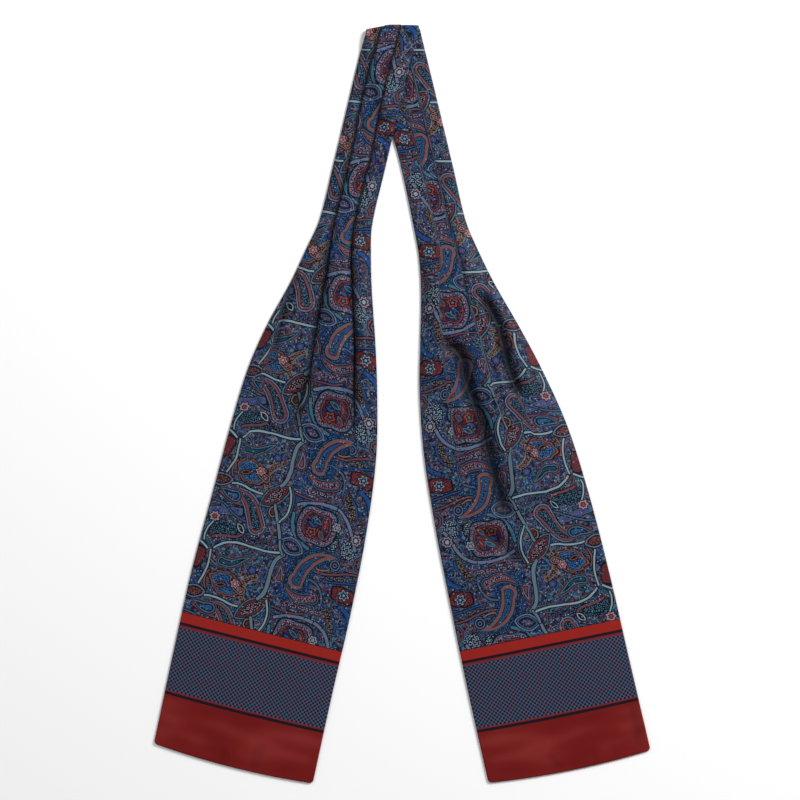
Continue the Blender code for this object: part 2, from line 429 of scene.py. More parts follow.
LEFT = Half(
    name="left_half",
    outward=-1.0,
    sections=table(
        Section,
        (321.0, -8.1, 22.7, 0.0, 0.3),
        (260.0, -22.8, 22.4, 2.3, 0.3),
        (200.0, -37.2, 22.2, 4.5, 0.3),
        (155.0, -48.0, 22.6, 6.2, 0.5),
        (130.0, -54.0, 27.7, 7.1, 0.8),
        (100.0, -60.2, 35.0, 8.3, 1.2),
        (60.0, -68.9, 46.9, 9.8, 2.0),
        (20.0, -76.2, 56.2, 11.3, 2.6),
        (-30.0, -83.8, 63.5, 13.1, 2.6),
        (-90.0, -95.5, 67.7, 14.1, 2.0),
        (-160.0, -111.6, 70.3, 14.1, 1.6),
        (-230.0, -127.5, 70.1, 14.1, 1.3),
        (-306.5, -144.0, 69.9, 14.1, 0.5),
    ),
    lines=table(
        PleatLine,
        (321.0, -0.24, 0.41),
        (260.0, -0.21, 0.47),
        (212.0, -0.30, 0.38),
        (155.0, -0.29, 0.39),
        (127.0, -0.37, 0.24),
        (100.0, -0.49, 0.15),
        (60.0, -0.59, 0.08),
        (24.0, -0.62, 0.06),
        (-22.0, -0.66, 0.19),
        (-306.5, -0.66, 0.24),
    ),
    fullness=table(
        Fullness,
        (321.0, 0.3, 0.5, 4.0, 8.0),
        (306.0, 0.8, 1.4, 5.0, 7.0),
        (200.0, 1.0, 1.6, 5.0, 6.0),
        (150.0, 2.2, 2.0, 5.0, 4.5),
        (115.0, 4.4, 2.4, 5.0, 2.8),
        (70.0, 5.2, 2.6, 5.0, 2.3),
        (25.0, 4.2, 1.8, 3.0, 2.1),
        (-15.0, 1.6, 0.5, 0.8, 2.0),
        (-45.0, 0.0, 0.0, 0.0, 2.0),
        (-306.5, 0.0, 0.0, 0.0, 2.0),
    ),
    creases=(
        trough(((-89.0, 118.0), (-99.0, 88.0), (-106.0, 62.0), (-115.0, 30.0)), 3.4, 3.4),
        trough(((-80.0, 30.0), (-86.0, 8.0), (-91.0, -10.0), (-96.0, -32.0)), 5.0, 3.8),
        trough(((-46.0, 48.0), (-45.0, 20.0), (-44.5, -8.0), (-48.0, -34.0)), 4.6, 3.0),
        trough(((-64.0, 26.0), (-66.0, 0.0), (-70.0, -24.0)), 6.0, 1.1),
        ridge(((-122.0, 0.0), (-132.0, -40.0), (-140.0, -80.0)), 8.0, 0.8),
        trough(((-112.0, -224.0), (-121.0, -262.0), (-128.0, -300.0)), 7.0, 0.8),
        ridge(((-204.0, -281.0), (-186.0, -285.0), (-160.0, -297.0)), 5.0, 0.9),
        trough(((-151.0, -292.0), (-152.0, -301.0), (-156.0, -308.0)), 3.0, 1.9),
        trough(((-121.0, -288.0), (-124.0, -302.0), (-127.0, -317.0)), 3.4, 2.2),
    ),
    hidden_shares=(0.35, 0.27, 0.38),
    third_line=((321.0, 1.4), (112.0, 1.1), (99.0, 0.97), (76.0, 0.88), (42.0, 0.75), (-306.5, 0.75)),
    middle_on_top=True,
)

RIGHT = Half(
    name="right_half",
    outward=1.0,
    sections=table(
        Section,
        (321.0, -7.8, 22.9, 0.0, 0.3),
        (260.0, 7.1, 22.7, 1.8, 0.3),
        (200.0, 22.0, 22.0, 3.6, 0.4),
        (155.0, 32.0, 22.5, 5.0, 1.5),
        (130.0, 39.4, 25.3, 5.7, 3.2),
        (100.0, 47.5, 31.5, 6.6, 5.8),
        (60.0, 58.0, 42.8, 7.9, 7.0),
        (20.0, 67.6, 53.3, 9.1, 7.0),
        (-30.0, 79.9, 62.4, 10.6, 6.2),
        (-90.0, 93.9, 67.1, 11.4, 4.4),
        (-160.0, 109.7, 69.3, 11.4, 2.0),
        (-230.0, 124.9, 70.2, 11.4, 1.4),
        (-309.1, 143.0, 70.6, 11.4, 0.5),
    ),
    lines=table(
        PleatLine,
        (321.0, -0.27, 0.40),
        (155.0, -0.26, 0.40),
        (141.0, -0.27, 0.39),
        (112.0, -0.46, 0.29),
        (98.0, -0.54, 0.21),
        (70.0, -0.56, 0.17),
        (-309.1, -0.56, 0.17),
    ),
    fullness=table(
        Fullness,
        (321.0, 0.2, 0.3, 3.0, 8.0),
        (200.0, 0.25, 0.35, 3.0, 8.0),
        (140.0, 0.9, 1.0, 3.0, 5.0),
        (110.0, 1.4, 1.1, 2.5, 4.0),
        (75.0, 0.0, 0.1, 0.6, 3.0),
        (-309.1, 0.0, 0.0, 0.0, 3.0),
    ),
    creases=(
        trough((
            (30.0, 52.0), (42.0, 50.0), (51.0, 40.0), (53.5, 26.0), (58.0, 10.0), (65.0, -8.0),
            (70.0, -25.0), (75.0, -45.0), (80.0, -62.0), (85.0, -82.0), (88.0, -98.0),
        ), 5.6, 8.0, 0.09),
        trough((
            (68.0, 98.0), (74.0, 84.0), (82.0, 68.0), (86.0, 52.0), (90.0, 36.0), (96.0, 18.0),
            (102.0, 3.0),
        ), 4.8, 6.8, 0.14),
        trough(((64.0, -102.0), (78.0, -114.0), (92.0, -126.0), (107.0, -138.0)), 5.0, 3.6),
        ridge(((92.0, -20.0), (98.0, -50.0), (100.0, -85.0), (98.0, -108.0)), 6.0, 1.6),
        ridge(((40.0, 20.0), (48.0, -6.0), (56.0, -30.0), (62.0, -60.0)), 8.0, 1.4),
        trough(((20.0, 120.0), (21.0, 90.0), (20.0, 50.0)), 4.0, 1.6),
        trough(((88.0, -104.0), (90.0, -118.0), (96.0, -130.0)), 4.0, 1.8),
        trough(((194.0, -250.0), (200.0, -274.0), (204.0, -296.0)), 4.5, 2.6),
        trough(((124.0, -298.0), (131.0, -306.0), (137.0, -313.0)), 3.2, 2.2),
        trough(((162.0, -292.0), (164.0, -299.0), (165.0, -308.0)), 2.6, 1.8),
        trough(((179.0, -289.0), (181.0, -296.0), (182.0, -303.0)), 2.4, 1.6),
    ),
    hidden_shares=(0.30, 0.30, 0.40),
    third_line=((321.0, 1.4), (100.0, 1.1), (87.0, 0.60), (60.0, 0.60), (35.0, 0.50), (-309.1, 0.5)),
    middle_on_top=False,
    line_shade=0.25,
)


# ------------------------------------------------------------------ meshes


def cloth_mesh(
    name: str, points: Grid, cloth: Grid, pattern: Grid, shade: Grid, close_end: bool, flip: bool
) -> bpy.types.Object:
    """Join rows of points round a tube into one open or closed skin with its two maps and its painted
    shade.

    Args:
        name: Name of the piece.
        points: Rows by columns by XYZ, in metres.
        cloth: Rows by columns plus one by 2: flat measures of the cloth, in metres.
        pattern: The same for the print.
        shade: Rows by columns: the painted shade of each point, along pleat lines and in troughs.
        close_end: Whether the last row is sewn shut.
        flip: Whether the rows run the other way round, so that faces must be turned outwards.

    Returns:
        The new object.
    """
    rows, columns = points.shape[:2]
    index = np.arange(rows * columns).reshape(rows, columns)
    row, column = np.meshgrid(np.arange(rows - 1), np.arange(columns), indexing="ij")
    order = ((0, 0), (1, 0), (1, 1), (0, 1)) if flip else ((0, 0), (0, 1), (1, 1), (1, 0))
    corner_rows = np.stack([row + down for down, _ in order], axis=-1)
    corner_columns = np.stack([column + along for _, along in order], axis=-1)
    faces = index[corner_rows, corner_columns % columns].reshape(-1, 4).tolist()
    if close_end:
        faces.append(index[-1].tolist()[:: -1 if flip else 1])
    mesh = bpy.data.meshes.new(name)
    mesh.from_pydata(points.reshape(-1, 3).tolist(), [], faces)
    for map_name, values in (("cloth", cloth), ("print", pattern)):
        flat = values[corner_rows, corner_columns].reshape(-1, 2)
        if close_end:
            flat = np.vstack([flat, values[-1, :-1][:: -1 if flip else 1]])
        layer = mesh.uv_layers.new(name=map_name)
        layer.data.foreach_set("uv", flat.ravel().astype(np.float32))
    # The pleat attribute carries painted shade, which the material darkens the colour by.
    pleat = mesh.attributes.new("pleat", "FLOAT", "POINT")
    pleat.data.foreach_set("value", np.clip(shade, 0.0, 1.0).ravel().astype(np.float32))
    mesh.shade_smooth()
    piece = bpy.data.objects.new(name, mesh)
    bpy.context.scene.collection.objects.link(piece)
    return piece


@dataclass
class Cravat:
    """The whole strip: its two halves and the fold between them."""

    thickness: float = 0.5
    over_lift: float = 3.4
    drape_start: float = 1.4
    drape_run: float = 9.0
    neck_sag: float = 3.2
    sag_edge: float = -8.0      # X where the sag starts
    sag_width: float = 24.0
    sag_foot: float = 296.0     # Y where it starts
    sag_length: float = 26.0
    fold_radius: float = 3.0    # of the print's way round the fold
    fold_rows: int = 22
    end_press: float = 22.0     # length over which a blade flattens to its sewn end
    right_phase: float = 91.0
    border: float = 114.5

    def inner_edge(self, y: Grid) -> Grid:
        """Find the edge of the right half that the left half comes down over.

        Args:
            y: Y of the points.

        Returns:
            X of the right half's inner edge there.
        """
        fine = np.linspace(RIGHT.fold_y + 8.0, RIGHT.sections[-1].y, 600)
        half = through(RIGHT.sections, "half", fine)
        x, at = RIGHT.place(fine, -half)
        return np.interp(-y, -at, x)

    def neck_drop(self, x: Grid, y: Grid) -> Grid:
        """Return how far the fold sags at its left corner, where it lies a little askew."""
        return (self.neck_sag * smooth((self.sag_edge - x) / self.sag_width)
                * smooth((y - self.sag_foot) / self.sag_length))

    def drape(self, x: Grid, y: Grid) -> Grid:
        """Return the height of the left half's underside over the table.

        Args:
            x: X of the points.
            y: Y of the points.

        Returns:
            The height: on the right band, or down on the table past its edge.
        """
        past = self.inner_edge(y) - x
        return self.over_lift * (1.0 - smooth((past - self.drape_start) / self.drape_run))

    def maps(self, half: Half, u: Grid, v: Grid) -> tuple[Grid, Grid]:
        """Turn flat measures in millimetres into the two map layers.

        Args:
            half: The half of the cravat.
            u: Width measure, with the closing column.
            v: Distance from the blade's end, of the same shape.

        Returns:
            The cloth's map and the print's map, in metres.
        """
        cloth = np.stack([u, v], axis=-1) * MM
        if half is LEFT:
            pattern = np.stack([u, v - self.border], axis=-1) * MM
        else:
            pattern = np.stack([u, self.right_phase + self.border - v], axis=-1) * MM
        return cloth, pattern

    def build_half(self, half: Half) -> bpy.types.Object:
        """Build one half of the strip as a thin tube of cloth.

        Args:
            half: Its sizes.

        Returns:
            The piece.
        """
        y = half.stations()
        reach, z, u, shade = half.cross_sections(y)
        y_grid = y[:, None] + 0.0 * reach
        to_end = y - half.sections[-1].y
        share = np.clip(to_end / half.corner, 0.0, 1.0)
        inset = half.corner * (1.0 - np.sqrt(1.0 - (1.0 - share) ** 2))
        limit = through(half.sections, "half", y)
        reach = reach * ((limit - inset) / limit)[:, None]
        x, place_y = half.place(y_grid, reach)
        place_y = place_y - self.neck_drop(x, place_y)
        upper = slice(0, half.face_count())
        floor = 2.0 * half.edge_radius + 0.0 * z[:, upper]
        z[:, upper] += half.ripple * rippled(x[:, upper], place_y[:, upper])
        z[:, upper], painted_shade_share = creased(x[:, upper], place_y[:, upper], z[:, upper], floor, half.creases)
        # The painted shade of the troughs is added to that of the pleat lines.
        shade[:, upper] = np.maximum(shade[:, upper], painted_shade_share)
        close = np.clip(to_end / half.edge_radius, 0.0, 1.0)
        close = np.sqrt(np.clip(1.0 - (1.0 - close) ** 2, 0.004, 1.0))[:, None]
        level = half.edge_radius
        soften = smooth(to_end / self.end_press)[:, None]
        z = np.where(z > 2.0 * level, 2.0 * level + (z - 2.0 * level) * soften, z)
        z = level + (z - level) * close
        if half is LEFT:
            z = z + self.drape(x, place_y)
        points = np.stack([x, place_y, z], axis=-1) * MM
        v = half.length_from_end(y)[:, None] + 0.0 * reach
        u = np.hstack([u, u[:, :1] + 4.0 * half.cut_half])
        v = np.hstack([v, v[:, :1]])
        cloth, pattern = self.maps(half, u, v)
        return cloth_mesh(half.name, points, cloth, pattern, shade, close_end=True, flip=half is RIGHT)

    def build_fold(self) -> bpy.types.Object:
        """Build the fold at the back of the neck, where the tube turns over.

        Returns:
            The piece.
        """
        half = LEFT
        angles = np.linspace(0.0, math.pi, self.fold_rows)
        y = np.full(angles.shape, half.fold_y)
        reach, z, u, shade = half.cross_sections(y)
        turn = angles[:, None] / math.pi
        flat = np.minimum(z, 2.0 * half.edge_radius)
        z = z + (flat - z) * smooth(turn)
        upper = slice(0, half.face_count())
        even = np.linspace(0.0, 1.0, half.face_count())[None, :]
        even = reach[:, :1] + (reach[:, upper][:, -1:] - reach[:, :1]) * even
        reach[:, upper] += (even - reach[:, upper]) * smooth(turn)
        axis = 0.5 * (self.over_lift + 2.0 * half.edge_radius)
        height = z + self.over_lift - axis
        x, place_y = half.place(y[:, None] + 0.0 * reach, reach)
        bend = np.cos(angles)[:, None]
        out = np.sin(angles)[:, None]
        place_y = place_y - self.neck_drop(x, place_y)
        points = np.stack([x, place_y + height * out, axis + height * bend], axis=-1) * MM
        length = half.length_from_end(np.array([half.fold_y]))[0]
        v = length + self.fold_radius * angles[:, None] + 0.0 * reach
        u = np.hstack([u, u[:, :1] + 4.0 * half.cut_half])
        v = np.hstack([v, v[:, :1]])
        cloth, pattern = self.maps(half, u, v)
        # The painted shade fades out round the fold.
        shade = shade * (1.0 - smooth(turn))
        return cloth_mesh("neck_fold", points, cloth, pattern, shade, close_end=False, flip=True)

    def thicken(self, piece: bpy.types.Object) -> None:
        """Give a skin of cloth its thickness, inwards."""
        wall = piece.modifiers.new("cloth thickness", "SOLIDIFY")
        wall.thickness = self.thickness * MM
        wall.offset = -1.0
        wall.use_rim = True

    def build(self, silk: bpy.types.Material) -> list[bpy.types.Object]:
        """Args:
            silk: The printed cloth.

        Returns:
            The pieces.
        """
        left = self.build_half(LEFT)
        right = self.build_half(RIGHT)
        fold = self.build_fold()
        stands_for = {
            left: (
                "left_blade_face", "left_blade_back", "left_band_pleat_outer",
                "left_band_pleat_middle", "left_band_pleat_inner", "left_band_back",
            ),
            right: ("right_band_back", "right_band_face", "right_blade_back", "right_blade_face"),
            fold: ("neck_fold_inner", "neck_fold_outer"),
        }
        for piece, nodes in stands_for.items():
            self.thicken(piece)
            piece.data.materials.append(silk)
            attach(piece, "root")
            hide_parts(*nodes)
            LOG.info("%s: %d faces", piece.name, len(piece.data.polygons))
        return [left, right, fold]


# ------------------------------------------------------------------ nodes


def add(
    tree: Tree,
    kind: str,
    inputs: Optional[dict] = None,
    stops: Sequence[tuple[float, tuple]] = (),
    **settings: object,
) -> Node:
    """Add one node with its settings and links.

    Args:
        tree: The tree it goes into.
        kind: The node's type, without the "ShaderNode" that most start with.
        inputs: Its inputs by name or number: a value, a socket, or a node whose first output is meant.
        stops: Position and colour of each stop, for a colour ramp.
        **settings: Its properties.

    Returns:
        The node.
    """
    node = tree.nodes.new(kind if kind.startswith(("Node", "Geometry")) else "ShaderNode" + kind)
    for name, value in settings.items():
        setattr(node, name, value)
    for key, value in (inputs or {}).items():
        if isinstance(value, Node):
            value = value.outputs[0]
        if isinstance(value, Socket):
            tree.links.new(value, node.inputs[key])
        else:
            node.inputs[key].default_value = value
    if stops:
        ramp = node.color_ramp
        while len(ramp.elements) > 1:
            ramp.elements.remove(ramp.elements[-1])
        ramp.elements[0].position, ramp.elements[0].color = stops[0]
        for place, colour in stops[1:]:
            ramp.elements.new(place).color = colour
    return node


def linear(code: str, alpha: float = 1.0) -> tuple[float, float, float, float]:
    """Turn an sRGB hex colour into the linear values that shaders take.

    Args:
        code: The colour.
        alpha: Its alpha.

    Returns:
        Red, green, blue and alpha.
    """
    parts = [int(code[k : k + 2], 16) / 255.0 for k in (0, 2, 4)]
    parts = [c / 12.92 if c <= 0.04045 else ((c + 0.055) / 1.055) ** 2.4 for c in parts]
    return (*parts, alpha)


def maths(tree: Tree, operation: str, *values: object) -> Node:
    """Add a Math node."""
    return add(tree, "Math", dict(enumerate(values)), operation=operation)


def mix(tree: Tree, share: object, under: object, over: object, **settings: object) -> Socket:
    """Lay one colour over another."""
    return add(tree, "MixRGB", {0: share, 1: under, 2: over}, **settings).outputs[0]


def steps(tree: Tree, share: object, stops: Sequence[tuple[float, tuple]]) -> Node:
    """Add a colour ramp that changes in steps.

    Args:
        tree: The tree it goes into.
        share: What it reads, from 0 to 1.
        stops: Position and colour of each step.

    Returns:
        The ramp.
    """
    ramp = add(tree, "ValToRGB", {0: share}, stops=stops)
    ramp.color_ramp.interpolation = "CONSTANT"
    return ramp


def palette(tree: Tree, chance: object, inks: Sequence["Ink"]) -> Node:
    """Pick one of several inks by a number from 0 to 1."""
    return steps(tree, chance, [(k / len(inks), linear(ink.value)) for k, ink in enumerate(inks)])


def noise(tree: Tree, place: object, scale: float, detail: float = 1.0) -> Node:
    """Add a slow drift."""
    return add(tree, "TexNoise", {"Vector": place, "Scale": scale, "Detail": detail})


def cells(tree: Tree, place: object, size: float, jitter: float, **settings: object) -> Node:
    """Scatter flat cells of one size."""
    return add(tree, "TexVoronoi", {"Vector": place, "Scale": 1.0 / size, "Randomness": jitter},
               voronoi_dimensions="2D", **settings)


# ------------------------------------------------------------------ the print


class Ink(Enum):
    """The printer's colours."""

    NIGHT = "04060F"
    NAVY = "0B1229"
    INDIGO = "11203F"
    BLUE = "143A70"
    AZURE = "275C8C"
    TEAL = "14364A"
    SEA = "30596B"
    SLATE = "374C66"
    LAVENDER = "515E78"
    GREY = "4F636F"
    PALE = "71868F"
    PINK = "7C6A76"
    ROSE = "57353F"
    RUST = "6B3C32"
    RED = "581F24"
    SCARLET = "792E28"
    MAROON = "2D131B"
    PLUM = "352236"
    TAN = "665A4E"
    BROWN = "2D2023"


@dataclass(frozen=True)
class Band:
    """One band of a motif, out to a distance from its outline, plain or beaded."""

    reach: float
    ink: Ink
    beads: Optional[Ink] = None


class Shape(Enum):
    """The families of motif."""

    DROP = "curved drop"
    LEAF = "pointed leaf"
    ROSETTE = "rosette"


@dataclass(frozen=True)
class Motif:
    """One printed motif, from its base to its tip, with its bands from the inside out."""

    shape: Shape
    base: Point
    tip: Point
    radius: float
    bands: tuple[Band, ...]
    bow: float = 0.0
    sway: float = 0.0
    taper: float = 0.0
    petals: float = 0.0
    wave: float = 0.0
    power: float = 2.0


def stem(base: Point, tip: Point, width: float, ink: Ink, bow: float = 0.0, sway: float = 0.0,
         edge: Ink = Ink.NIGHT, beads: Optional[Ink] = None) -> Motif:
    """Return a stem or scroll line of even width with a dark edge.

    Args:
        base: Where it starts.
        tip: Where it ends.
        width: Its width.
        ink: Its colour.
        bow: How far its middle stands off the straight line.
        sway: How far it swings to both sides like an S.
        edge: The colour beside it.
        beads: The colour of the beads on it, if it has any.

    Returns:
        The motif.
    """
    return Motif(Shape.DROP, base, tip, 0.5 * width, (Band(0.0, ink, beads), Band(0.8, edge)), bow, sway)


def motif(shape: Shape, base: Point, tip: Point, radius: float, *bands: tuple, **bends: float) -> Motif:
    """Return a motif of one family.

    Args:
        shape: The family.
        base: Where it starts, or a rosette's centre.
        tip: Where it ends, or the end of a rosette's other radius.
        radius: Its radius or half width.
        *bands: The reach, the ink and, on a beaded one, the beads' ink of each band.
        **bends: Its bow, sway, taper, petals, wave or power.

    Returns:
        The motif.
    """
    return Motif(shape, base, tip, radius, tuple(Band(*band) for band in bands), **bends)


drop = partial(motif, Shape.DROP)
leaf = partial(motif, Shape.LEAF)
rosette = partial(motif, Shape.ROSETTE)

# Short names of the inks for the tables, in the order of their list.
(NIGHT, NAVY, INDIGO, BLUE, AZURE, TEAL, SEA, SLATE, LAVENDER, GREY,
 PALE, PINK, ROSE, RUST, RED, SCARLET, MAROON, PLUM, TAN, BROWN) = Ink

GROUND = (
    drop((-19.0, 49.0), (-46.0, 79.0), 17.0, (-5.5, INDIGO), (-3.0, NAVY, AZURE), (0.0, INDIGO, BLUE),
        bow=9.0, taper=0.55),
    rosette((-60.0, 47.5), (-61.2, 54.0), 11.0, (-3.6, RED, NAVY), (-2.4, MAROON, SCARLET),
        (-1.0, RED, NAVY), (0.0, NIGHT), petals=7.0, wave=0.05, power=3.4),
    rosette((68.0, 50.0), (66.0, 60.0), 5.6, (-1.0, RED, MAROON), (0.0, NIGHT), power=3.0),
    rosette((54.5, 93.4), (55.1, 96.8), 16.5, (-2.4, BLUE, TAN), (-0.9, BLUE, ROSE), (-0.3, SLATE),
        (0.4, NIGHT), power=8.0),
    rosette((-56.0, 60.0), (-56.5, 62.8), 15.0, (-1.2, NAVY, TAN), (-0.2, TEAL, ROSE), (0.5, NIGHT),
        power=7.0),
    rosette((48.0, 77.0), (47.0, 84.0), 17.0, (-2.0, NIGHT, SEA), (0.0, NIGHT, SLATE), power=3.0),
    rosette((-38.0, -10.0), (-37.0, -3.0), 10.0, (-1.0, NIGHT, PALE), (0.0, NIGHT), power=3.0),
    rosette((-58.5, 86.0), (-57.0, 95.0), 8.0, (-1.0, NAVY, PALE), (0.0, NIGHT, LAVENDER), power=2.5),
)

MEDALLIONS = (
    rosette((-26.0, 1.0), (-27.4, 17.6), 18.5, (-6.6, NAVY, RED), (-5.8, ROSE), (-5.0, NIGHT),
        (-2.6, PLUM, PINK), (-1.8, SLATE), (-0.6, NIGHT), (0.0, NAVY, SEA), power=3.6, petals=6.0,
        wave=0.03),
    rosette((39.5, 33.0), (36.5, 43.5), 17.0, (-3.4, INDIGO, AZURE), (-2.6, SLATE), (-1.9, NIGHT),
        (-0.9, RUST), (0.0, NIGHT), power=1.7, petals=10.0, wave=0.05),
)

LINES = (
    stem((-7.0, 15.5), (-42.0, 18.5), 2.7, LAVENDER, bow=3.2),
    stem((-42.0, 18.5), (-63.2, -11.2), 2.6, LAVENDER, bow=3.6, sway=1.1),
    stem((-4.4, 7.0), (-22.0, -19.5), 2.8, SEA, bow=-5.4),
    stem((-9.0, 10.0), (-24.0, -15.5), 1.6, PINK, bow=-5.0, edge=PLUM),
    stem((-44.6, 36.0), (-59.5, 16.0), 2.0, BLUE, bow=3.6),
    stem((-24.0, 54.5), (-42.5, 31.5), 1.6, SLATE, bow=8.0),
    stem((-49.0, 31.0), (-56.0, 14.5), 4.6, NIGHT, bow=1.4, edge=BROWN, beads=TAN),
    stem((-60.0, 37.0), (-70.0, 21.5), 3.6, BLUE, bow=3.4),
    stem((-30.0, 62.5), (-68.0, 66.5), 1.5, ROSE, bow=-1.6, sway=-1.2),
    stem((-28.0, 66.0), (-44.0, 65.5), 1.2, TAN, bow=-2.0),
    stem((-40.0, 54.0), (-70.0, 58.5), 1.2, BLUE, bow=0.6),
    stem((17.0, 44.5), (22.0, 21.5), 4.8, MAROON, bow=-6.6, edge=TAN, beads=TAN),
    stem((55.5, 41.0), (56.5, 26.0), 1.3, RUST, bow=-2.5),
    stem((34.0, 88.0), (70.0, 101.5), 1.1, SLATE, bow=-1.2, sway=1.0),
    stem((12.0, 76.0), (34.0, 79.0), 3.4, NIGHT, bow=4.0, edge=PLUM, beads=SLATE),
    stem((34.0, 79.0), (60.0, 69.5), 2.0, ROSE, bow=1.8, sway=1.4),
    stem((64.0, 10.0), (38.0, 3.0), 1.6, ROSE, bow=-2.0),
    stem((70.0, 14.0), (36.0, 13.5), 1.1, TEAL, bow=-1.5, sway=1.2),
    stem((5.0, 24.0), (-30.0, 24.5), 1.2, ROSE, bow=-1.6, sway=0.8),
    stem((-12.0, 28.0), (-42.0, 27.0), 3.2, NAVY, bow=1.0, edge=PLUM, beads=PINK),
)

BOTEHS = (
    drop((-19.4, 50.6), (-50.2, 77.0), 7.6, (-5.4, NAVY, SEA), (-3.7, BLUE, TEAL), (-3.1, NIGHT),
        (-0.9, RUST), (0.0, SLATE), (0.8, NAVY), (2.0, NAVY, SEA), (2.6, NAVY), bow=9.0, taper=0.58),
    drop((-35.0, 38.6), (-9.5, 44.5), 4.8, (-2.6, NAVY, PINK), (-1.0, ROSE), (-0.2, NIGHT), (0.6, SLATE),
        (1.3, NIGHT), bow=5.4, taper=0.42),
    drop((25.4, 87.2), (48.5, 113.0), 7.4, (-4.2, NAVY, SEA), (-3.4, NIGHT), (-1.4, ROSE, RUST),
        (-0.7, NIGHT), (0.5, LAVENDER), (1.3, NIGHT), bow=-4.6, sway=1.0, taper=0.25),
    drop((49.0, 108.0), (63.0, 111.5), 5.2, (-3.0, BLUE, SEA), (-1.6, NAVY), (-0.5, SEA), (0.3, NIGHT),
        (1.2, ROSE), bow=1.2, taper=0.5),
    drop((-3.4, 48.4), (-2.4, 61.0), 4.2, (-2.8, ROSE), (-2.0, NIGHT), (-1.0, LAVENDER), (-0.3, NIGHT),
        (0.5, ROSE), (1.2, NIGHT), bow=-0.8, taper=0.6),
    drop((46.6, 51.2), (23.2, 59.9), 4.2, (-2.6, TEAL), (-1.6, NIGHT), (-0.6, SEA), (0.2, NIGHT),
        (0.9, ROSE), bow=-2.4, sway=-1.0, taper=0.5),
    drop((26.0, 30.0), (37.0, 41.0), 3.4, (-1.6, RED, PINK), (-0.8, NIGHT), (0.0, TAN), (0.8, NIGHT),
        bow=2.2, taper=0.6),
)

LEAVES = (
    leaf((1.5, 81.0), (-18.5, 74.0), 7.0, (-4.6, PLUM, LAVENDER), (-2.4, NAVY), (-1.6, SLATE),
        (-0.8, NIGHT), (0.3, LAVENDER), (1.1, NIGHT)),
    leaf((26.5, 7.0), (2.0, 29.0), 7.2, (-3.4, NIGHT, PINK), (-2.6, MAROON), (-1.5, RED), (-0.7, NIGHT),
        (0.5, SEA), (1.2, NIGHT)),
    leaf((55.0, 22.2), (76.0, 19.6), 6.0, (-2.8, MAROON, RUST), (-1.4, NIGHT), (-0.4, LAVENDER),
        (0.6, NIGHT)),
    leaf((49.0, 30.0), (38.5, 32.5), 2.4, (-1.3, NIGHT), (-0.5, RUST), (0.3, NIGHT)),
    leaf((-21.0, 8.5), (-30.0, 3.0), 2.2, (-1.0, INDIGO), (-0.2, SEA), (0.6, NIGHT)),
    leaf((-31.0, 9.0), (-34.5, -1.0), 2.0, (-0.9, SCARLET), (-0.2, NIGHT), (0.5, ROSE)),
    leaf((-17.5, 4.0), (-25.5, -1.5), 1.8, (-0.5, BLUE), (0.4, NIGHT)),
    leaf((-28.5, -2.0), (-33.5, -9.5), 2.0, (-0.8, TEAL), (0.0, RUST), (0.6, NIGHT)),
    leaf((42.0, 86.0), (34.0, 78.0), 3.0, (-1.4, NIGHT), (-0.6, PALE), (0.4, NIGHT)),
)

FLOWERS = (
    rosette((-60.9, 47.7), (-61.8, 51.4), 3.8, (-2.9, PALE), (-1.1, INDIGO), (-0.3, PALE), (0.6, NIGHT),
        petals=6.0, wave=0.24),
    rosette((62.8, 86.6), (63.5, 90.9), 4.4, (-3.0, SCARLET), (-2.2, NIGHT), (-0.6, PINK), (0.4, NIGHT),
        petals=7.0, wave=0.16),
    rosette((-48.2, 70.8), (-48.2, 75.6), 4.8, (-3.6, NAVY), (-2.9, LAVENDER), (-1.2, NAVY),
        (-0.4, LAVENDER), (0.4, NIGHT)),
    rosette((-70.5, 75.9), (-70.5, 84.4), 8.0, (-5.6, NAVY, PALE), (-4.6, SLATE), (-2.8, NIGHT, RUST),
        (-1.8, ROSE), (-1.0, NIGHT), (0.0, SLATE), petals=9.0, wave=0.05),
    rosette((13.4, 102.4), (13.4, 107.6), 5.2, (-2.6, MAROON, ROSE), (-1.6, NIGHT), (-0.6, TAN),
        (0.4, NIGHT), petals=5.0, wave=0.05),
    rosette((32.0, 35.0), (31.4, 38.8), 4.0, (-2.9, PALE), (-1.6, SCARLET), (-0.6, PINK), (0.3, NIGHT),
        petals=6.0, wave=0.2),
    rosette((20.0, 49.5), (19.5, 52.3), 3.0, (-1.7, SCARLET), (0.0, BLUE), (0.8, NIGHT), petals=5.0,
        wave=0.1),
    rosette((-62.5, -3.0), (-62.5, 1.6), 4.4, (-2.8, PALE), (-1.6, NAVY), (-0.4, PINK), (0.4, NIGHT),
        petals=8.0, wave=0.14),
    rosette((-22.0, -5.0), (-22.0, -1.0), 4.2, (-2.9, SEA), (-1.7, NIGHT), (-0.3, SCARLET), (0.4, NIGHT),
        petals=5.0, wave=0.2),
    rosette((-43.5, 4.0), (-43.5, 7.4), 3.4, (-2.1, PINK), (-1.2, NIGHT), (-0.2, PALE), (0.6, NIGHT),
        petals=6.0, wave=0.18),
)

STEMS = (
    stem((-3.1, 68.8), (10.4, 27.4), 3.1, GREY, bow=-0.9, sway=-2.6),
    stem((12.8, 108.2), (2.3, 79.0), 2.4, GREY, bow=0.4),
    stem((2.3, 79.2), (-1.6, 69.0), 2.0, GREY, bow=-0.8),
    stem((1.2, 69.6), (56.6, 60.6), 1.7, PALE, bow=-4.2, sway=2.3),
    stem((58.9, 58.2), (62.8, 28.4), 1.5, PALE, bow=2.7),
    stem((26.6, 16.6), (55.4, 19.6), 1.6, PALE, bow=-0.9, sway=0.8),
    stem((2.9, 27.6), (6.1, -3.6), 1.5, PALE, bow=4.6),
    stem((0.3, 27.0), (3.9, -3.0), 0.8, SLATE, bow=4.6),
    stem((71.0, 64.0), (62.4, 59.2), 1.6, PALE, bow=0.6),
    stem((63.0, 82.0), (66.5, 65.5), 1.2, PALE, bow=-1.8),
)


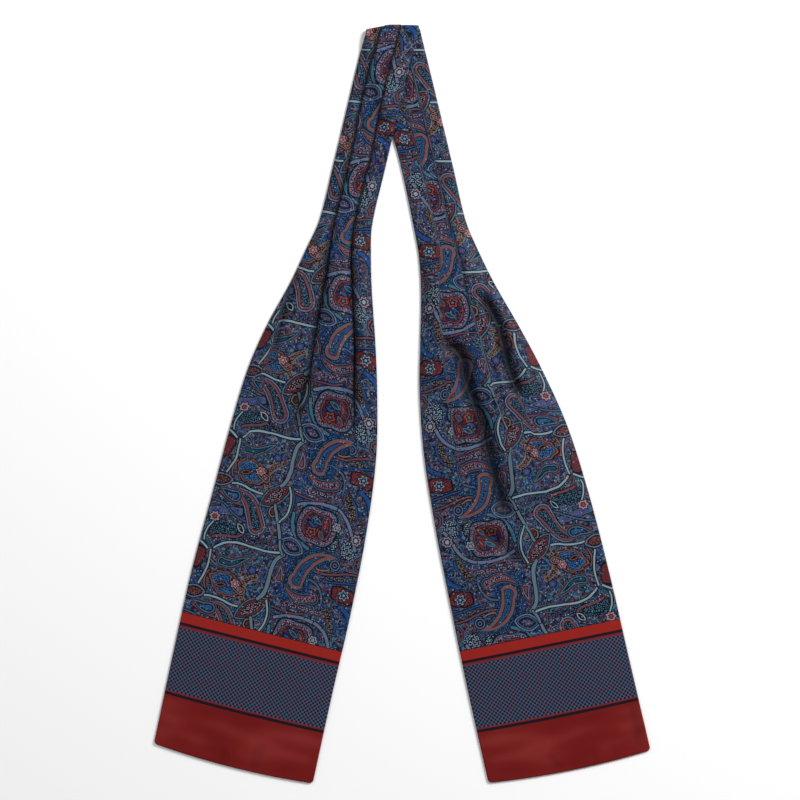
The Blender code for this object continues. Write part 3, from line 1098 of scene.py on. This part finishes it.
@dataclass
class PaisleyPrint:
    """The paisley, drawn with distance fields on the print's map, in millimetres."""

    tree: Tree
    repeat: float
    span: float = 16.0
    bead: float = 1.7
    waver: float = 1.8
    bow_scale: float = 4.0      # brings the middle of a bent line out by its bow
    sway_scale: float = 10.4    # brings an S line out by its sway to both sides
    bead_radius: float = 0.31   # in beads
    fields: dict[Shape, Tree] = field(default_factory=dict)

    def new_field(self, shape: Shape, names: Sequence[str]) -> tuple[Tree, dict, Callable]:
        """Start a node group that measures the distance from one family's outline.

        Args:
            shape: The family.
            names: Its number inputs.

        Returns:
            The group, its input sockets by name and a function that adds a Math node to it.
        """
        group = bpy.data.node_groups.new(f"distance to {shape.value}", "ShaderNodeTree")
        for name in ("Position", "Middle", "Base", "Across", "Along"):
            group.interface.new_socket(name, in_out="INPUT", socket_type="NodeSocketVector")
        for name in ("Repeat", *names):
            group.interface.new_socket(name, in_out="INPUT", socket_type="NodeSocketFloat")
        group.interface.new_socket("Distance", in_out="OUTPUT", socket_type="NodeSocketFloat")
        entry = add(group, "NodeGroupInput")
        given = {socket.name: socket for socket in entry.outputs}
        never = 5000.0  # past any edge of the cloth, so that only the length repeats
        half = add(group, "CombineXYZ", {
            0: never, 1: maths(group, "MULTIPLY", given["Repeat"], 0.5), 2: never})
        near = add(group, "VectorMath", {0: given["Position"],
            1: add(group, "VectorMath", {0: given["Middle"], 1: half}, operation="ADD"),
            2: add(group, "VectorMath", {0: given["Middle"], 1: half}, operation="SUBTRACT"),
        }, operation="WRAP")
        local = add(group, "VectorMath", {0: near, 1: given["Base"]}, operation="SUBTRACT")
        for name, direction in (("X", "Across"), ("Y", "Along")):
            part = add(group, "VectorMath", {0: local, 1: given[direction]}, operation="DOT_PRODUCT")
            given[name] = part.outputs["Value"]
        return group, given, partial(maths, group)

    def drop_field(self) -> Tree:
        """Build the distance to a bent drop: a round base drawn out to a tip.

        Returns:
            The node group.
        """
        group, given, m = self.new_field(Shape.DROP, ("Length", "Radius", "Bow", "Sway", "Taper"))
        along = add(group, "Clamp", {0: m("DIVIDE", given["Y"], given["Length"])})
        left = m("SUBTRACT", 1.0, along)
        swing = m("MULTIPLY", m("SUBTRACT", left, along), m("MULTIPLY", given["Sway"], self.sway_scale))
        hump = m("MULTIPLY", along, left)
        bend = m("MULTIPLY", hump, m("MULTIPLY_ADD", given["Bow"], self.bow_scale, swing))
        off = add(group, "CombineXYZ", {
            0: m("SUBTRACT", given["X"], bend),
            1: m("SUBTRACT", given["Y"], m("MULTIPLY", along, given["Length"]))})
        reach = add(group, "VectorMath", {0: off}, operation="LENGTH").outputs["Value"]
        radius = m("MULTIPLY", given["Radius"], m("POWER", left, given["Taper"]))
        add(group, "NodeGroupOutput", {0: m("SUBTRACT", reach, radius)})
        return group

    def leaf_field(self) -> Tree:
        """Build the distance to a leaf with two points, between two arcs.

        Returns:
            The node group.
        """
        group, given, m = self.new_field(Shape.LEAF, ("Length", "Radius"))
        half = m("MULTIPLY", given["Length"], 0.5)
        arc = m("DIVIDE", m("MULTIPLY_ADD", half, half, m("MULTIPLY", given["Radius"], given["Radius"])),
                m("MULTIPLY", given["Radius"], 2.0))
        off = add(group, "CombineXYZ", {
            0: m("ADD", m("ABSOLUTE", given["X"]), m("SUBTRACT", arc, given["Radius"])),
            1: m("SUBTRACT", given["Y"], half)})
        reach = add(group, "VectorMath", {0: off}, operation="LENGTH").outputs["Value"]
        add(group, "NodeGroupOutput", {0: m("SUBTRACT", reach, arc)})
        return group

    def rosette_field(self) -> Tree:
        """Build the distance to a round, square or petalled outline about its centre.

        Returns:
            The node group.
        """
        group, given, m = self.new_field(Shape.ROSETTE, ("Length", "Radius", "Petals", "Wave", "Power"))
        x = m("ABSOLUTE", m("DIVIDE", given["X"], given["Radius"]))
        y = m("ABSOLUTE", m("DIVIDE", given["Y"], given["Length"]))
        norm = m("POWER", m("ADD", m("POWER", x, given["Power"]), m("POWER", y, given["Power"])),
                 m("DIVIDE", 1.0, given["Power"]))
        angle = m("ARCTAN2", given["X"], given["Y"])
        petal = m("COSINE", m("MULTIPLY", angle, given["Petals"]))
        shape = m("MULTIPLY", norm, m("MULTIPLY_ADD", petal, given["Wave"], 1.0))
        size = m("MINIMUM", given["Radius"], given["Length"])
        add(group, "NodeGroupOutput", {0: m("MULTIPLY", m("SUBTRACT", shape, 1.0), size)})
        return group

    def ring_ramp(self, distance: Node, bands: Sequence[Band], beaded: bool) -> Node:
        """Colour a motif by the distance from its outline.

        Args:
            distance: The distance, set to 0..1 over twice the span.
            bands: Its bands from the inside out.
            beaded: Whether beads are wanted instead of the ground.

        Returns:
            The colour ramp, whose alpha is 0 past the last band.
        """
        stops = []
        place = 0.0
        for band in bands:
            ink = band.beads if beaded and band.beads else band.ink
            stops.append((place, linear(ink.value)))
            place = 0.5 + 0.5 * band.reach / self.span
        stops.append((place, linear(bands[-1].ink.value, 0.0)))
        return steps(self.tree, distance, stops)

    def lay(self, motif: Motif, position: Node, beads: Node,
            under: Socket) -> Socket:
        """Print one motif over what is there.

        Args:
            motif: The motif.
            position: The place on the print, in millimetres.
            beads: 1 on the beads and 0 between them.
            under: The colour so far.

        Returns:
            The colour with the motif.
        """
        makers = {Shape.DROP: self.drop_field, Shape.LEAF: self.leaf_field,
                  Shape.ROSETTE: self.rosette_field}
        if motif.shape not in self.fields:
            self.fields[motif.shape] = makers[motif.shape]()
        run = (motif.tip[0] - motif.base[0], motif.tip[1] - motif.base[1])
        length = math.hypot(*run)
        along = (run[0] / length, run[1] / length, 0.0)
        inwards = 0.0 if motif.shape is Shape.ROSETTE else 0.5
        middle = (motif.base[0] + inwards * run[0], motif.base[1] + inwards * run[1])
        values = {
            "Position": position, "Middle": (*middle, 0.0), "Base": (*motif.base, 0.0),
            "Repeat": self.repeat, "Along": along, "Across": (along[1], -along[0], 0.0), "Length": length,
        }
        for name in ("radius", "bow", "sway", "taper", "petals", "wave", "power"):
            values[name.title()] = getattr(motif, name)
        group = self.fields[motif.shape]
        names = [item.name for item in group.interface.items_tree if item.in_out == "INPUT"]
        measure = add(self.tree, "Group", {name: values[name] for name in names}, node_tree=group)
        share = maths(self.tree, "MULTIPLY_ADD", measure, 0.5 / self.span, 0.5)
        plain = self.ring_ramp(share, motif.bands, beaded=False)
        colour = plain.outputs["Color"]
        if any(band.beads for band in motif.bands):
            beaded = self.ring_ramp(share, motif.bands, beaded=True)
            colour = mix(self.tree, beads, colour, beaded.outputs["Color"])
        return mix(self.tree, plain.outputs["Alpha"], under, colour)

    def bead_mask(self, position: Node) -> Node:
        """Scatter even little beads, for the dotted bands."""
        beads = cells(self.tree, position, self.bead, 0.7)
        return maths(self.tree, "LESS_THAN", beads.outputs["Distance"], self.bead_radius)

    def sprigs(self, position: Node, under: Socket, size: float, rings: Sequence,
               inks: Sequence[Ink], share: float, jitter: float) -> Socket:
        """Scatter small round sprigs of several inks.

        Args:
            position: The place on the print, in millimetres.
            under: The colour so far.
            size: Distance between the sprigs.
            rings: Pairs of distance and cover, in cells, for the sprig's rings.
            inks: Their inks.
            share: How many of the cells have a sprig.
            jitter: How uneven their places are.

        Returns:
            The colour with the sprigs.
        """
        spots = cells(self.tree, position, size, jitter)
        chance = add(self.tree, "SeparateColor", {0: spots.outputs["Color"]})
        cover = steps(self.tree, spots.outputs["Distance"],
                      [(place, (1.0, 1.0, 1.0, value)) for place, value in rings])
        shown = maths(self.tree, "LESS_THAN", chance.outputs[1], share)
        tint = palette(self.tree, chance.outputs[0], inks)
        return mix(self.tree, maths(self.tree, "MULTIPLY", cover.outputs["Alpha"], shown), under, tint)

    def ground(self, position: Node) -> Socket:
        """Fill the ground with tints, scrolling outlines and small sprigs.

        Args:
            position: The place on the print, in millimetres.

        Returns:
            The colour.
        """
        drift = noise(self.tree, position, 0.13, 2.0)
        tints = add(self.tree, "ValToRGB", {0: drift.outputs[0]}, stops=[
            (place, linear(ink.value)) for place, ink in (
                (0.0, NIGHT), (0.42, NAVY), (0.49, NIGHT), (0.55, NAVY), (0.64, INDIGO))])
        warp = noise(self.tree, position, 0.22)
        push = add(self.tree, "VectorMath", {0: warp.outputs["Color"], 1: (9.0, 9.0, 0.0), 2: position},
                   operation="MULTIPLY_ADD")
        scroll = cells(self.tree, push, 8.0, 1.0, feature="DISTANCE_TO_EDGE")
        cell = cells(self.tree, push, 8.0, 1.0)
        # Red, green and blue each stand for one of three outlines, with a gap after each.
        outline = steps(self.tree, scroll, [
            (0.0, (1.0, 0.0, 0.0, 1.0)), (0.05, (0.0, 0.0, 0.0, 1.0)), (0.11, (0.0, 1.0, 0.0, 1.0)),
            (0.17, (0.0, 0.0, 0.0, 1.0)), (0.24, (0.0, 0.0, 1.0, 1.0)), (0.30, (0.0, 0.0, 0.0, 1.0))])
        rings = add(self.tree, "SeparateColor", {0: outline})
        chance = add(self.tree, "SeparateColor", {0: cell.outputs["Color"]})
        colour = tints.outputs[0]
        for ring, inks in enumerate((
            (LAVENDER, SEA, GREY, ROSE), (PLUM, BLUE, TEAL, BROWN), (SEA, ROSE, BLUE, LAVENDER),
        )):
            tint = palette(self.tree, chance.outputs[ring], inks)
            colour = mix(self.tree, rings.outputs[ring], colour, tint)
        colour = self.sprigs(position, colour, 4.6, ((0.0, 1.0), (0.09, 0.0), (0.17, 0.9), (0.25, 0.0)),
                             (SLATE, ROSE, BLUE, LAVENDER, TEAL, PINK), 0.6, 0.9)
        return self.sprigs(position, colour, 2.2, ((0.0, 1.0), (0.24, 0.0)),
                           (BLUE, NIGHT, PALE, ROSE, SEA, NAVY, RUST, LAVENDER), 0.5, 0.95)

    def drawn(self, position: Node) -> Node:
        """Let the lines waver a little, as drawn by hand, about their true place.

        Args:
            position: The place on the print, in millimetres.

        Returns:
            The place that is printed there.
        """
        waver = noise(self.tree, position, 0.09)
        moved = add(self.tree, "VectorMath", {
            0: waver.outputs["Color"], 1: (self.waver, self.waver, 0.0), 2: position,
        }, operation="MULTIPLY_ADD")
        back = -0.5 * self.waver
        return add(self.tree, "Mapping", {"Vector": moved, "Location": (back, back, 0.0)})

    def build(self, place: Node) -> Socket:
        """Print every layer of the paisley.

        Args:
            place: The place on the print, in millimetres.

        Returns:
            The colour.
        """
        beads = self.bead_mask(place)
        colour = self.ground(place)
        position = self.drawn(place)
        for motif in (*GROUND, *LINES, *MEDALLIONS, *BOTEHS, *LEAVES):
            colour = self.lay(motif, position, beads, colour)
        colour = self.sprigs(position, colour, 2.9, ((0.0, 1.0), (0.2, 0.0)),
                             (NIGHT, TEAL, BLUE, PINK, SLATE, SEA, RUST), 0.5, 0.95)
        for motif in (*FLOWERS, *STEMS):
            colour = self.lay(motif, position, beads, colour)
        return colour


@dataclass(frozen=True)
class Border:
    """The printed border, in millimetres from the end of the blade."""

    satin: float = 43.8
    low_line: float = 46.2
    low_red: float = 47.6
    lattice: float = 101.8
    high_red: float = 103.9
    high_line: float = 106.3
    strip: float = 114.8
    edge: float = 115.5
    basket: float = 3.6

    map_start: float = 38.0     # the stretch that the stripes' ramp covers
    map_end: float = 118.0

    def basket_colour(self, tree: Tree, cloth: Node) -> Node:
        """Draw the small diagonal basket of the border's middle.

        Args:
            tree: The material's nodes.
            cloth: The place on the cloth, in millimetres.

        Returns:
            The colour.
        """
        waves = []
        for direction in ((1.0, 1.0, 0.0), (1.0, -1.0, 0.0)):
            across = add(tree, "VectorMath", {0: cloth, 1: direction}, operation="DOT_PRODUCT")
            phase = maths(tree, "MULTIPLY", across.outputs["Value"], 2.0 * math.pi / self.basket)
            waves.append(maths(tree, "COSINE", phase))
        share = maths(tree, "MULTIPLY_ADD", maths(tree, "ADD", *waves), 0.25, 0.5)
        dots = add(tree, "ValToRGB", {0: share}, stops=[
            (0.45, (0.0, 0.0, 0.0, 0.0)), (0.6, (0.0, 0.0, 0.0, 1.0))])
        drift = noise(tree, cloth, 0.16)
        threads = add(tree, "ValToRGB", {0: drift.outputs[0]}, stops=[
            (0.36, linear("38485C")), (0.5, linear("42455A")), (0.62, linear("4A4054"))])
        return add(tree, "MixRGB", {0: dots.outputs["Alpha"], 1: threads, 2: linear("070D22")})

    def satin_red_and_painted_sheen(self, tree: Tree, cloth: Node) -> Node:
        """Give the plain red end its red, with painted sheen and shade: slow drifts for satin that isn't
        quite flat.

        Args:
            tree: The material's nodes.
            cloth: The place on the cloth, in millimetres.

        Returns:
            The colour.
        """
        slant = add(tree, "Mapping", {
            "Vector": cloth, "Rotation": (0.0, 0.0, math.radians(38.0)), "Scale": (0.016, 0.042, 0.0)})
        return add(tree, "ValToRGB", {0: noise(tree, slant, 1.0).outputs[0]}, stops=[
            (0.36, linear("640F0F")), (0.5, linear("6B1514")), (0.66, linear("782321"))])

    def share(self, length: float) -> float:
        """Return where a length lies on the stripes' ramp."""
        return (length - self.map_start) / (self.map_end - self.map_start)

    def build(self, tree: Tree, cloth: Node, paisley: Socket) -> Socket:
        """Lay the border over the paisley.

        Args:
            tree: The material's nodes.
            cloth: The place on the cloth, in millimetres.
            paisley: The colour of the paisley.

        Returns:
            The colour of the whole print.
        """
        along = add(tree, "SeparateXYZ", {0: cloth}).outputs[1]
        share = add(tree, "MapRange", {
            "Value": along, "From Min": self.map_start, "From Max": self.map_end})
        clear = (0.0, 0.0, 0.0, 0.0)
        stripes = steps(tree, share, [(0.0, linear("6E1614"))] + [
            (self.share(start), colour) for start, colour in (
                (self.satin, linear("160C18")), (self.low_line, linear("6A1C20")), (self.low_red, clear),
                (self.lattice, linear("6A1C20")), (self.high_red, linear("160C18")),
                (self.high_line, linear("861C16")), (self.strip, linear("1A0E18")), (self.edge, clear))])
        upper = maths(tree, "GREATER_THAN", along, self.edge)
        base = mix(tree, upper, self.basket_colour(tree, cloth), paisley)
        striped = mix(tree, stripes.outputs["Alpha"], base, stripes)
        low_end = maths(tree, "LESS_THAN", along, self.satin)
        # The plain red end, with its painted sheen and shade, goes over the rest.
        return mix(tree, low_end, striped, self.satin_red_and_painted_sheen(tree, cloth))


@dataclass(frozen=True)
class PrintedSilk:
    """Silk twill, woven and then screen printed: a soft sheen over a fine diagonal rib."""

    name: str = "printed_silk_twill"
    roughness: float = 0.5
    specular: float = 0.1
    sheen: float = 0.02
    sheen_roughness: float = 0.4
    rib: float = 0.9
    rib_depth: float = 0.02
    rib_angle: float = 27.0
    wave_scale: float = 0.314   # of a wave texture, for a wave one unit long
    # Painted shade: how far the pleat attribute darkens the colour, and the tint it darkens by.
    pleat_shade: float = 0.92
    pleat_shade_tint: tuple[float, ...] = (0.06, 0.06, 0.08, 1.0)    # painted shade: the share of each colour left at the darkest of a pleat
    edge_turn: float = 1.8      # length of cloth that turns round the sewn edge
    cut_width: float = 140.0
    repeat: float = 98.4

    def build(self) -> bpy.types.Material:
        """Build the material.

        Returns:
            The material.
        """
        silk = bpy.data.materials.new(self.name)
        silk.use_nodes = True
        tree = silk.node_tree
        surface = tree.nodes["Principled BSDF"]
        cloth, printed = (
            add(tree, "VectorMath", {0: add(tree, "UVMap", uv_map=name), 3: 1.0 / MM}, operation="SCALE")
            for name in ("cloth", "print"))
        across = add(tree, "SeparateXYZ", {0: printed}).outputs[0]
        under = maths(tree, "GREATER_THAN", across, 0.5 * self.cut_width + self.edge_turn)
        back = add(tree, "CombineXYZ", {0: maths(tree, "MULTIPLY", under, -self.cut_width)})
        place = add(tree, "VectorMath", {0: printed, 1: back}, operation="ADD")
        paisley = PaisleyPrint(tree, self.repeat).build(place)
        colour = Border().build(tree, cloth, paisley)
        # Painted shade: the pleat attribute darkens the print along pleat lines and in troughs.
        pleat = add(tree, "Attribute", attribute_name="pleat")
        share = maths(tree, "MULTIPLY", pleat.outputs["Fac"], self.pleat_shade)
        shaded = mix(tree, share, colour, self.pleat_shade_tint, blend_type="MULTIPLY")
        tree.links.new(shaded, surface.inputs["Base Color"])
        for name, value in (
            ("Roughness", self.roughness), ("Specular IOR Level", self.specular),
            ("Sheen Weight", self.sheen), ("Sheen Roughness", self.sheen_roughness),
        ):
            surface.inputs[name].default_value = value
        turned = add(tree, "Mapping", {
            "Vector": cloth, "Rotation": (0.0, 0.0, math.radians(self.rib_angle))})
        ribs = add(tree, "TexWave", {
            "Vector": turned, "Scale": self.wave_scale / self.rib, "Distortion": 0.4, "Detail": 1.0,
        }, wave_profile="SIN")
        bump = add(tree, "Bump", {
            "Strength": 0.5, "Distance": self.rib_depth * MM, "Height": ribs.outputs[1]})
        tree.links.new(bump.outputs[0], surface.inputs["Normal"])
        return silk


# ------------------------------------------------------------------ studio


@dataclass(frozen=True)
class MattPaper:
    """Matt white paper, which hardly shines."""

    name: str = "matt_white_paper"
    albedo: float = 0.9
    roughness: float = 0.9

    def build(self) -> bpy.types.Material:
        """Build the material.

        Returns:
            The material.
        """
        paper = bpy.data.materials.new(self.name)
        paper.use_nodes = True
        surface = paper.node_tree.nodes["Principled BSDF"]
        surface.inputs["Base Color"].default_value = (self.albedo, self.albedo, self.albedo, 1.0)
        surface.inputs["Roughness"].default_value = self.roughness
        return paper


@dataclass(frozen=True)
class SoftLight:
    """A square soft light that faces the cravat, in metres and watts."""

    name: str
    place: tuple[float, float, float]
    size: float
    power: float

    def build(self) -> None:
        """Hang the light."""
        light = bpy.data.lights.new(self.name, "AREA")
        light.size = self.size
        light.energy = self.power
        lamp = bpy.data.objects.new(self.name, light)
        lamp.location = self.place
        lamp.rotation_euler = (-Vector(self.place)).to_track_quat("-Z", "Y").to_euler()
        bpy.context.scene.collection.objects.link(lamp)


@dataclass
class Studio:
    """A plain pale floor, soft light and the camera over the table, in metres."""

    floor_size: float = 6.0
    floor_drop: float = 0.0002      # keeps the floor just clear of the cloth
    sky: float = 0.36
    lights: tuple[SoftLight, ...] = (
        SoftLight("key", (1.3, 1.15, 1.45), 0.8, 53.0),
        SoftLight("fill", (-1.2, 0.9, 1.9), 1.8, 16.0),
    )
    camera_place: tuple[float, float, float] = (-0.0017, 0.0038, 2.6)
    field: float = 0.6832           # width of what the camera sees at the table

    def build_floor(self) -> None:
        """Lay the floor just under the table height."""
        bpy.ops.mesh.primitive_plane_add(size=self.floor_size, location=(0.0, 0.0, -self.floor_drop))
        floor = bpy.context.object
        floor.name = "floor"
        floor.data.materials.append(MattPaper().build())

    def build_lights(self) -> None:
        """Hang the soft lights in an even white sky."""
        world = bpy.data.worlds.new("studio")
        bpy.context.scene.world = world
        world.use_nodes = True
        sky = world.node_tree.nodes["Background"]
        sky.inputs["Color"].default_value = linear("FFFFFF")
        sky.inputs["Strength"].default_value = self.sky
        for light in self.lights:
            light.build()

    def build_camera(self) -> None:
        """Hang the camera straight over the middle of the cravat."""
        camera = bpy.data.cameras.new("camera")
        camera.lens_unit = "FOV"
        camera.angle = 2.0 * math.atan(0.5 * self.field / self.camera_place[2])
        holder = bpy.data.objects.new("camera", camera)
        holder.location = self.camera_place
        bpy.context.scene.collection.objects.link(holder)
        bpy.context.scene.camera = holder

    def build(self) -> None:
        """Build the whole studio."""
        bpy.context.scene.view_settings.view_transform = "Standard"
        self.build_floor()
        self.build_lights()
        self.build_camera()


def main() -> None:
    """Build the cravat and its studio."""
    logging.basicConfig(level=logging.INFO, format="%(message)s")
    Studio().build()
    Cravat().build(PrintedSilk().build())


if __name__ == "__main__":
    main()
